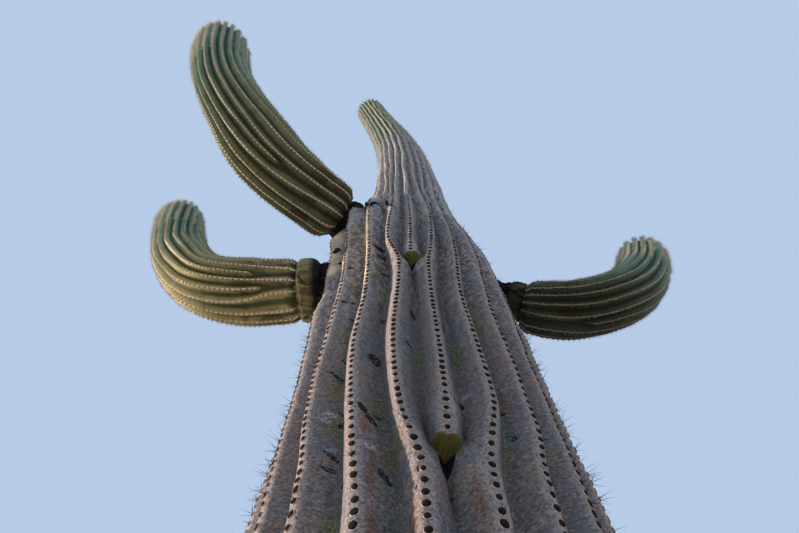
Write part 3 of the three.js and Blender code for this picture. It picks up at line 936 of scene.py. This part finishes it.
def lay_grain(s, n):
    """Fine wrinkles and specks, tall grains and streaks high up, cracks and pale crests (partly painted
    highlight).
    """
    s.lay((172, 156, 152), s.step(n.lines, 0.56, 0.7), 0.25)
    s.lay((70, 66, 74), s.step(n.lines, 0.44, 0.3), 0.3)
    s.lay((186, 172, 162), s.step(n.specks, 0.52, 0.64), 0.42)
    s.lay((48, 44, 46), s.step(n.specks, 0.47, 0.36), 0.5)
    upper = s.times(s.step(n.high, 0.05, 0.5), 0.5)
    s.lay((206, 190, 176), s.step(n.grains, 0.50, 0.62), upper)
    s.lay((58, 54, 60), s.step(n.grains, 0.49, 0.38), upper)
    top = s.times(s.step(n.high, 0.7, 1.0), 0.6)
    s.lay((200, 198, 190), s.step(n.streaks, 0.50, 0.60), top)
    s.lay((84, 82, 86), s.step(n.streaks, 0.47, 0.36), top)
    # Paler crests high up: partly painted highlight.
    s.lay((208, 206, 196), s.step(n.crest, 0.55, 0.95), s.step(n.high, 0.75, 1.0), 0.3)
    s.lay((50, 44, 48), s.step(n.cracks, 0.08, 0.0), s.step(n.blotches, 0.42, 0.58), 0.65)
    # Pale crests: partly the bark's own colour, partly painted highlight.
    s.lay((178, 164, 156), s.step(n.crest, 0.8, 0.98), s.step(n.specks, 0.3, 0.6), 0.55)


def lay_young(s, n):
    """The green skin near the tip, where the bark is not old yet."""
    old = s.skin
    # Dark green in the furrows and pale on the crests: the young skin's tones, deepened by painted shade and
    # highlight.
    s.skin = s.ramp(s.step(n.crest, 0.25, 0.95), (70, 91, 68), (172, 177, 146))
    s.lay((126, 136, 116), s.step(n.specks, 0.4, 0.7), 0.4)
    worn = s.math("ADD", s.number("age"), s.total(-0.25, (n.patches, 0.5)))
    s.skin = s.mix(s.step(worn, 0.2, 0.7), s.skin, old)


def lay_marks(s, n):
    """Painted sunlight on paler skin, the noses of new ribs with painted ground light, flecks, scars
    with a ragged edge, and painted shade in the pits.
    """
    # Painted sunlight where the sun falls on the shoulder, on paler skin.
    cream_and_painted_sun = s.ramp(s.step(n.specks, 0.36, 0.56), (186, 150, 108), (255, 230, 182))
    s.skin = s.mix(s.number("cream_and_painted_sun"), s.skin, cream_and_painted_sun)
    # The noses of new ribs: younger olive skin, with painted light bounced up from the ground.
    nose = s.ramp(s.step(n.blotches, 0.35, 0.65), (84, 78, 40), (110, 106, 54))
    s.skin = s.mix(s.number("gold"), s.skin, nose)
    s.lay((186, 184, 188), s.number("fleck"), s.step(n.specks, 0.45, 0.5))
    scar = s.number("scar")
    ragged = s.math("ADD", scar, s.total(-0.85, (n.blotches, 0.9), (n.specks, 0.8)))
    s.lay((26, 23, 26), s.step(ragged, 0.36, 0.5), s.step(scar, 0.05, 0.2))
    inside = s.times(s.step(scar, 0.6, 0.85), s.step(n.specks, 0.49, 0.57))
    s.lay((142, 138, 142), inside, s.step(n.high, 0.4, 0.15), 0.6)
    # Painted shade in the pits beside the noses of new ribs.
    s.lay((24, 21, 24), s.step(s.number("dark"), 0.3, 0.62))


def bark_material():
    """The trunk's skin: mauve-grey, mottled and finely cracked, green towards the tip, with painted
    shade in its furrows and pits, and painted sunlight on the shoulder.
    """
    s = Shade("bark", 0.2)
    n = bark_noises(s)
    lay_mottle(s, n)
    lay_grain(s, n)
    lay_young(s, n)
    lay_marks(s, n)
    height = s.total(0.0, (n.lines, 0.5), (n.blotches, 1.0), (n.specks, 0.9))
    return s.finish(height, 0.002, 0.7, (n.specks, 0.7, 0.95))


def skin_material():
    """An arm's skin: waxy, from olive brown at its base to blue-green at its tip, with brown
    plates at the base, painted shade in the furrows and on shaded arms, warm painted ground light
    underneath, and a painted highlight along each crest."""
    s = Shade("green_skin", 0.25)
    crest = s.number("crest")
    age = s.number("age")
    dark = s.number("dark")
    patches = s.noise(s.flat(), 11, 4)
    specks = s.noise(s.flat(), 140, 3, 0.6)
    lines = s.noise(s.flat((14, 14, 170)), 1, 2, 0.5, 0.4)
    # Warm golden olive under the arm and cool blue-green on top, on shaded arms and towards the tip: partly
    # younger skin, partly painted light, warm from the ground below and cool from the sky.
    warm = s.ramp(s.step(patches, 0.35, 0.65), (166, 160, 98), (194, 178, 122))
    cool = s.ramp(s.step(patches, 0.35, 0.65), (104, 152, 136), (136, 172, 154))
    s.skin = s.mix(s.number("green"), warm, cool)
    s.lay((108, 88, 54), s.step(age, 0.0, 0.25), s.step(patches, 0.3, 0.55), 0.7)
    plates = s.cells(s.flat((1, 1, 0.6)), 16)
    s.lay((88, 70, 42), s.step(age, 0.12, 0.22), s.step(plates, 0.12, 0.2), 0.75)
    s.lay((64, 66, 42), s.step(lines, 0.52, 0.38), 0.3)
    # Painted shade in the furrows.
    s.lay((44, 60, 40), s.step(crest, 0.45, 0.0), 0.85)
    # Painted shade on the shady side of shaded arms, and darker skin at the base.
    s.lay((16, 21, 16), dark)
    # Painted highlight: a broad pale band on each crest, where the sun would light it, left off in the
    # painted shade.
    s.lay((228, 198, 166), s.step(crest, 0.66, 0.98), s.step(dark, 0.6, 0.0), 0.42)
    # Painted highlight: a thin pale line along each crest, dimmer on shaded arms.
    clear = s.total(0.22, (s.step(dark, 0.9, 0.4), 0.73))
    s.lay((236, 224, 186), s.step(crest, 0.93, 0.99), s.step(specks, 0.25, 0.5), clear)
    # Painted sunlight on the side of the tip that faces the sun.
    s.lay((250, 228, 176), s.number("painted_sun_tip"), s.step(crest, 0.1, 0.6))
    height = s.total(0.0, (lines, 0.6), (specks, 0.5))
    return s.finish(height, 0.0012, 0.8, (patches, 0.62, 0.85))


def cork_material():
    """The necks of the arms: nearly black, cracked into plates."""
    s = Shade("cork", 0.15)
    cracks = s.cells(s.position(), 55)
    grain = s.noise(s.position(), 40, 5, 0.65)
    s.skin = s.ramp(s.step(cracks, 0.0, 0.25), (12, 10, 10), (42, 35, 31))
    s.lay((84, 76, 70), s.step(grain, 0.52, 0.75))
    height = s.math("ADD", s.step(cracks, 0.0, 0.3), grain)
    return s.finish(height, 0.006, 1.0, (grain, 0.8, 1.0))


def fine_material(name, pale, dark, roughness):
    """For small things: two near colours in fine specks that have no set place."""
    s = Shade(name, 0.2)
    specks = s.noise(s.position(), 300, 3, 0.6)
    s.skin = s.ramp(s.step(specks, 0.35, 0.65), dark, pale)
    return s.finish(specks, 0.0006, 0.6, roughness)


def floor_material():
    s = Shade("floor_paint", 0.1)
    tone = s.noise(s.position(), 0.4, 2)
    s.skin = s.ramp(tone, (180, 173, 163), (188, 182, 173))
    s.feed(s.shader, {"Base Color": s.skin, "Roughness": 0.9})
    return s.material


def build_materials():
    materials = {key: fine_material(*values) for key, values in FINE_MATERIALS.items()}
    return dict(materials, bark=bark_material(), skin=skin_material(), cork=cork_material())


# Skins


def limb_skin(limb, arcs, columns, rows, relief):
    """Points and looks of a limb's skin on the grid of its ribs."""
    angle, across, owner = limb.grid(arcs, columns)
    arc = arcs[:, None] + 0 * angle
    place, shrink = limb.place(arc)
    top = crest_shape(across, limb.flatness(place), limb.roll(arc, angle))
    shape = np.maximum(limb.rise(place, across, owner) * top, limb.valley(arc, angle))
    stand = relief(limb, arc, angle, across, notches(rows, owner, arcs, across))
    radius = limb.girth(place, angle) - limb.furrow(place) * (1 - shape) + stand * np.sqrt(shrink)
    return {
        "points": limb.point(arc, angle, radius),
        "arc": arc,
        "angle": angle,
        "across": across,
        "past": limb.past_start(place, across, owner),
        "crest": shape,
        "age": limb.age(place),
        "flat": flat_coordinates(limb, arc, angle),
    }


def trunk_looks(limb, skin):
    """The colours that have a place on the trunk: how much of each is sprayed where."""
    arc, angle, past = skin["arc"], skin["angle"], skin["past"]
    for name, spots in SPOTS.items():
        skin[name] = sprayed(limb, arc, angle, spots)
    patch = soft_noise(skin["flat"] * 1.5, 0.05, 31)
    # Painted sunlight on the shoulder, on paler skin, uneven in patches.
    skin["cream_and_painted_sun"] = np.clip(1.2 * skin["cream_and_painted_sun"] * (0.9 + 0.5 * patch), 0, 1)
    skin["high"] = smooth((arc - 2.1) / 1.7)
    # The noses of new ribs: younger olive skin, with painted light bounced up from the ground.
    skin["gold"] = smooth((past + 0.003) / 0.003) * smooth((0.013 - past) / 0.003)
    # Painted shade in the pits beside the noses of new ribs.
    pits = smooth((past + 0.05) / 0.02) * smooth(-past / 0.003)
    skin["dark"] = pits * smooth((0.75 - np.abs(skin["across"])) / 0.3)
    # The shoulder's rim is laid on as a scar: scaly bark, darkened partly as painted shade along the ledge.
    edge = shoulder_edge(limb, arc, angle)
    skin["scar"] = np.clip(2.2 * edge + scarred(limb, arc, angle), 0, 1)


def upper_side(angle):
    """1 on top of a limb, 0 under it."""
    return smooth(0.5 + 0.6 * np.cos(np.radians(angle)))


def arm_looks(limb, skin):
    """Where an arm's skin is dark at its base, darkened by painted shade on its shady side, green
    (partly painted cool light on top), and made pale by painted sunlight at its tip.
    """
    arc, turn = skin["arc"], np.radians(skin["angle"])
    shade = limb.sizes["shade"]
    upper = upper_side(skin["angle"])
    young = smooth((arc - 0.3 * limb.end) / (0.55 * limb.end))
    foot = limb.near_base(arc, 0.03) * smooth(0.7 + soft_noise(skin["flat"], 0.03, 44))
    # Painted shade on the underside of a shaded arm, away from its tip.
    shady = shade * (1 - np.clip(young + 0.5 * upper, 0, 1))
    skin["dark"] = np.maximum(np.clip(0.9 * foot, 0, 1), shady)
    # Greener towards the tip as younger skin, and on top and on shaded arms as painted cool sky light.
    skin["green"] = np.clip(young + 0.5 * upper + 0.5 * shade, 0, 1)
    # Painted sunlight on the inner side of the tip.
    inner = smooth(1.6 * np.cos(turn - np.radians(20)) + 0.2)
    skin["painted_sun_tip"] = limb.sizes["painted_sun_tip"] * inner * smooth((arc / limb.end - 0.6) / 0.12)


def arc_rows(*stretches):
    """Arc lengths from stretches of (from, to, step), without doubling their shared ends."""
    parts = []
    for start, end, step in stretches:
        count = max(round((end - start) / step), 1)
        parts.append(np.linspace(start, end, count, endpoint=False))
    return np.concatenate([*parts, [stretches[-1][1]]])


def build_trunk(materials):
    limb = Trunk()
    rows = areole_rows(limb, 5)
    low, middle, high = TRUNK_SEAMS
    arcs = arc_rows(
        (0, 1.62, 0.05),
        (1.62, low, 0.0045),
        (low, 2.16, 0.0025),
        (2.16, middle, 0.0045),
        (middle, 2.86, 0.005),
        (2.86, 2.93, 0.003),
        (2.93, high, 0.006),
        (high, 4.6, 0.012),
        (4.6, 6.4, 0.025),
        (6.4, limb.end - 0.004, 0.028),
    )
    skin = limb_skin(limb, arcs, TRUNK_COLUMNS, rows, relief_of_trunk)
    trunk_looks(limb, skin)
    seams = [0, *[int(np.searchsorted(arcs, seam - 1e-6)) for seam in TRUNK_SEAMS], len(arcs) - 1]
    caps = {"foot": ["foot"], "low": [], "middle": [], "high": ["tip"]}
    for k, part in enumerate(caps):
        rings = slice(seams[k], seams[k + 1] + 1)
        name = f"trunk_skin_{part}"
        skin_piece(name, skin, rings, caps[part], materials["bark"], ["trunk"])
    return areole_frames(limb, rows, relief_of_trunk)


def build_arm(limb, materials):
    rows = areole_rows(limb, 7)
    base = limb.start + 0.1
    arcs = arc_rows((limb.start, base, 0.004), (base, limb.end - 0.003, 0.0085))
    skin = limb_skin(limb, arcs, ARM_COLUMNS, rows, relief_of_arm)
    arm_looks(limb, skin)
    nodes = [f"{limb.name}_reach", f"{limb.name}_rise"]
    closed_piece(f"{limb.name}_skin", skin, materials["skin"], nodes)
    return areole_frames(limb, rows, relief_of_arm)


def tube_grid(start, end, rings, sides):
    """Arc lengths and angles on the grid of a plain tube."""
    turns = np.linspace(0, 360, sides, endpoint=False)
    return np.meshgrid(np.linspace(start, end, rings), turns, indexing="ij")


def build_neck(limb, materials):
    """The lobed, rough and corky neck between the trunk and an arm."""
    end, size = limb.sizes["neck"]
    arc, angle = tube_grid(0.012, end + 0.004, 30, 96)
    turn = np.radians(angle)
    flat = np.stack([np.sin(turn) * 0.1, np.cos(turn) * 0.1, arc], -1)
    wander = 0.35 * soft_noise(flat, 0.05, 62)
    dent = NECK_DENT * (1 - np.cos(NECK_LOBES * (turn + wander))) / 2
    radius = size * (0.97 + 0.05 * np.cos(arc / 0.012)) - dent + lumpy(flat, NECK_LUMPS)
    name = f"{limb.name}_neck"
    skin = {"points": limb.point(arc, angle, radius)}
    closed_piece(name + "_cork", skin, materials["cork"], [name])


def build_cuff(limb, materials):
    """The swollen ring at the arm's base: broad uneven lobes, narrow creases and a pale collar."""
    begin = limb.sizes["neck"][0]
    end, size, lift, lobes = limb.sizes["cuff"]
    arc, angle = tube_grid(begin - 0.004, end + 0.006, 36, 168)
    share = np.clip((arc - begin) / (end - begin), 0, 1)
    bulge = np.sin(np.pi * share) ** 0.4
    flat = flat_coordinates(limb, arc, angle)
    wander = lumpy(flat, [(0.45, 0.06, 71), (0.12, 0.02, 73)])
    crease = np.cos(lobes * (np.radians(angle) + wander) / 2)
    shape = 1 - bump(crease / 0.22)
    edge = bump((share - 0.86 + 0.12 * soft_noise(flat, 0.04, 74)) / 0.05)
    ridge = bump((np.abs(crease) - 0.42) / 0.11) * smooth(0.4 + 1.5 * soft_noise(flat, 0.05, 75))
    rough = 0.004 * soft_noise(flat, 0.03, 76) + 0.0015 * soft_noise(flat * [1, 1, 2], 0.012, 72)
    radius = size * (0.84 + 0.16 * bulge) - 0.008 * (1 - shape) + 0.003 * edge + rough
    upper = upper_side(angle)
    _, _, top = limb.axes(arc)
    skin = {
        "points": limb.point(arc, angle, radius) + top * lift,
        "crest": np.clip(0.02 + 0.30 * shape + 0.66 * np.maximum(edge, ridge), 0, 1),
        "age": 0.25 * (1 - 0.8 * upper),
        "flat": flat,
        # dark: darker next to the neck, as corky skin and painted shade in the crease, and painted shade on
        # shaded arms.
        "dark": np.maximum(smooth(1.3 - 2.6 * share), limb.sizes["shade"]),
        # green: cooler on top, as painted sky light.
        "green": 0.6 * upper,
    }
    name = f"{limb.name}_cuff"
    closed_piece(name + "_skin", skin, materials["skin"], [name])


# Areoles and spines


def areole_frames(limb, rows, relief):
    """Where the areoles stand: points, and unit vectors out of, along and across the limb."""
    order = np.argsort(np.concatenate(rows))
    arcs = np.concatenate(rows)[order]
    owner = np.concatenate([np.full(len(row), k) for k, row in enumerate(rows)])[order]

    def crest_points(arc):
        place, shrink = limb.place(arc)
        angles = limb.ribs(np.minimum(place, limb.dome))[0]
        angle = angles[owner, np.arange(len(arc))]
        lift = relief(limb, arc[:, None], angle[:, None], 0 * arc[:, None], 0.0)[:, 0]
        return limb.point(arc, angle, limb.girth(place, angle) + lift * np.sqrt(shrink)), angle

    step = 0.004
    points, angle = crest_points(arcs)
    above, _ = crest_points(np.minimum(arcs + step, limb.end - 0.001))
    below, _ = crest_points(arcs - step)
    ahead = unit(above - below)
    _, side, top = limb.axes(limb.place(arcs)[0])
    turn = np.radians(angle)
    across = unit(side * np.cos(turn)[:, None] - top * np.sin(turn)[:, None])
    return {
        "point": points,
        "out": unit(np.cross(across, ahead)),
        "ahead": ahead,
        "across": across,
        "arc": arcs,
        "angle": angle,
        "long": limb.areole_length(arcs),
        "green": smooth((arcs / limb.end - 0.3) / 0.55),
    }


def choose(frames, keep):
    return {key: values[keep] for key, values in frames.items()}


def joined(frames_list):
    return {key: np.concatenate([f[key] for f in frames_list]) for key in frames_list[0]}


def ring_bands(name, frames, radius, profile, sides, top, material):
    """Many round things at once, one at each frame: bands between the circles of a profile,
    closed by a middle point at the height top if there is one."""
    count = len(frames["point"])
    turn = np.linspace(0, 2 * np.pi, sides, endpoint=False)
    rng = np.random.default_rng(17)
    phase = rng.uniform(0, 6.3, (count, 1))
    oval = 0.13 * rng.uniform(0, 1, (count, 1))
    uneven = 1 + oval * np.sin(2 * turn + phase) + rng.uniform(-0.07, 0.07, (count, sides))
    length = (frames["long"][:, None] * frames["ahead"])[:, None]
    flat = np.cos(turn)[None, :, None] * frames["across"][:, None] + np.sin(turn)[None, :, None] * length
    circles = []
    for share, height in profile:
        reach = (radius * share)[:, None, None] * uneven[:, :, None]
        circles.append(frames["point"][:, None] + flat * reach + frames["out"][:, None] * height)
    if top is not None:
        circles.append((frames["point"] + frames["out"] * top)[:, None])
    points = np.concatenate(circles, 1)
    starts = np.arange(count)[:, None, None] * points.shape[1]
    faces = []
    if top is not None:
        fan = fan_faces((len(profile) - 1) * sides, sides, points.shape[1] - 1, True)
        faces.append((fan[None] + starts).reshape(-1, 3))
    if len(profile) > 1:
        faces.append((tube_faces(len(profile), sides)[None] + starts).reshape(-1, 4))
    mesh_piece(name, points.reshape(-1, 3), faces, material)


def spine_piece(name, frames, per_areole, lengths, radius, spread, seed, material):
    """Thin three-sided spines, so many at each frame, leaning out by angles from the spread."""
    rng = np.random.default_rng(seed)
    count = len(frames["point"]) * per_areole
    own = {key: np.repeat(frames[key], per_areole, 0) for key in ("point", "out", "ahead", "across")}
    lean = np.radians(rng.uniform(*spread, count))[:, None]
    turn = rng.uniform(0, 2 * np.pi, count)[:, None]
    away = own["ahead"] * np.sin(turn) + own["across"] * np.cos(turn)
    way = own["out"] * np.cos(lean) + away * np.sin(lean)
    length = rng.uniform(*lengths, count)[:, None]
    foot = own["point"] + away * rng.uniform(0, 0.0025, (count, 1))
    side = unit(np.cross(way, own["ahead"] + 0.3 * own["across"]))
    other = np.cross(way, side)
    corners = []
    for a in (0, 2 * np.pi / 3, 4 * np.pi / 3):
        corners.append(foot + radius * (np.cos(a) * side + np.sin(a) * other) - way * 0.001)
    points = np.stack([*corners, foot + way * length], 1)
    first = 4 * np.arange(count)[:, None, None]
    faces = (np.array([[0, 1, 3], [1, 2, 3], [2, 0, 3]])[None] + first).reshape(-1, 3)
    mesh_piece(name, points.reshape(-1, 3), [faces], material, rounded=False)


def build_trunk_areoles(frames, materials):
    """Dark pads in pale rims where the photograph is near, and plain cones elsewhere."""
    bottom, top, left, right = TRUNK_CLOSE
    arc = frames["arc"]
    near = (arc > bottom) & (arc < top) & between(frames["angle"], left, right)
    size = along(TRUNK_AREOLES, arc)
    size[near] = size[near] * np.random.default_rng(3).uniform(0.8, 1.15, near.sum())
    rimmed = near & (arc < RIM_TOP)
    plain = near & (arc >= RIM_TOP)
    far = ~near & (arc > LOWEST_AREOLE) & (arc <= PALE_FROM)
    tip = ~near & (arc > PALE_FROM)
    dark, pale = materials["wool"], materials["wool_pale"]
    for name, kept, profile, sides, middle, material in (
        ("areole_rims", rimmed, RIM_PROFILE, 12, None, materials["rim"]),
        ("areole_pads", rimmed, PAD_PROFILE, 12, PAD_TOP, dark),
        ("areole_pads_high", plain, CONE_PROFILE, 8, CONE_TOP, pale),
        ("areole_pads_far", far, CONE_PROFILE, 6, CONE_TOP, dark),
        ("areole_pads_tip", tip, CONE_PROFILE, 6, CONE_TOP, pale),
    ):
        ring_bands(name, choose(frames, kept), size[kept], profile, sides, middle, material)


def build_arm_areoles(frames, materials):
    """Small dark cones, a little below the middle of each crest, where the areoles' shadows fall:
    real areoles, set there partly as painted shadow.
    """
    size = 0.0026 - 0.0012 * frames["green"]
    lower = -np.sign(frames["across"][:, 2:]) * frames["across"]
    moved = dict(frames, point=frames["point"] + 0.0018 * lower)
    ring_bands("areole_pads_arms", moved, size, ARM_CONE_PROFILE, 6, ARM_CONE_TOP, materials["wool"])


def build_spines(trunk, arms, materials):
    """Long dark ones low on the trunk's sides, and pale ones high up and on the arms."""
    rng = np.random.default_rng(8)
    arc = trunk["arc"]
    front = between(trunk["angle"], *SPARSE_FRONT)
    low = (arc > LOWEST_SPINE) & (arc < SPINE_CHANGE) & (rng.random(len(arc)) < 0.6 - 0.52 * front)
    high = (arc > SPINE_CHANGE) & (rng.random(len(arc)) < smooth((arc - 4.6) / 1.6))
    young = arms["green"] > 0.75
    for name, frames, count, lengths, radius, spread, seed, material in (
        ("trunk_low", choose(trunk, low), 4, (0.010, 0.042), 0.0006, (5, 80), 91, "spine_dark"),
        ("trunk_high", choose(trunk, high), 8, (0.010, 0.026), 0.0007, (15, 85), 92, "spine_grey"),
        ("arms", arms, 9, (0.005, 0.014), 0.0005, (25, 88), 93, "spine_straw"),
        ("arm_tips", choose(arms, young), 12, (0.010, 0.024), 0.0008, (5, 75), 94, "spine_pale"),
    ):
        paint = materials[material]
        spine_piece("spines_" + name, frames, count, lengths, radius, spread, seed, paint)


# Stage


def build_stage():
    bpy.ops.mesh.primitive_plane_add(size=120, location=(0, 0, 0))
    floor = bpy.context.object
    floor.name = "floor"
    floor.data.materials.append(floor_material())


def build_light():
    world = bpy.data.worlds.new("studio")
    world.use_nodes = True
    back = world.node_tree.nodes["Background"]
    back.inputs["Color"].default_value = linear(*SKY_COLOUR)
    back.inputs["Strength"].default_value = SKY_STRENGTH
    bpy.context.scene.world = world
    lamp = bpy.data.lights.new("key", "SUN")
    lamp.energy = SUN_STRENGTH
    lamp.color = SUN_COLOUR
    lamp.angle = np.radians(SUN_WIDTH)
    holder = bpy.data.objects.new("key", lamp)
    bpy.context.scene.collection.objects.link(holder)
    holder.rotation_mode = "QUATERNION"
    holder.rotation_quaternion = Vector(direction(SUN_BEARING, SUN_CLIMB)).to_track_quat("Z", "Y")


def build_camera():
    bpy.context.scene.view_settings.view_transform = "Standard"
    lens = bpy.data.cameras.new("camera")
    lens.lens = LENS_MM
    lens.sensor_width = SENSOR_MM
    lens.clip_start = 0.02
    camera = bpy.data.objects.new("camera", lens)
    bpy.context.scene.collection.objects.link(camera)
    camera.location = EYE
    camera.rotation_euler = (np.radians(90 + LOOK_CLIMB), 0, 0)
    bpy.context.scene.camera = camera


build_camera()
build_light()
build_stage()
materials = build_materials()
trunk_frames = build_trunk(materials)
build_trunk_areoles(trunk_frames, materials)
arm_frames = []
for arm_name, arm_sizes in ARMS.items():
    arm = Arm(arm_name, arm_sizes)
    build_neck(arm, materials)
    if arm_sizes["cuff"]:
        build_cuff(arm, materials)
    arm_frames.append(build_arm(arm, materials))
arm_frames = joined(arm_frames)
build_arm_areoles(arm_frames, materials)
build_spines(trunk_frames, arm_frames, materials)
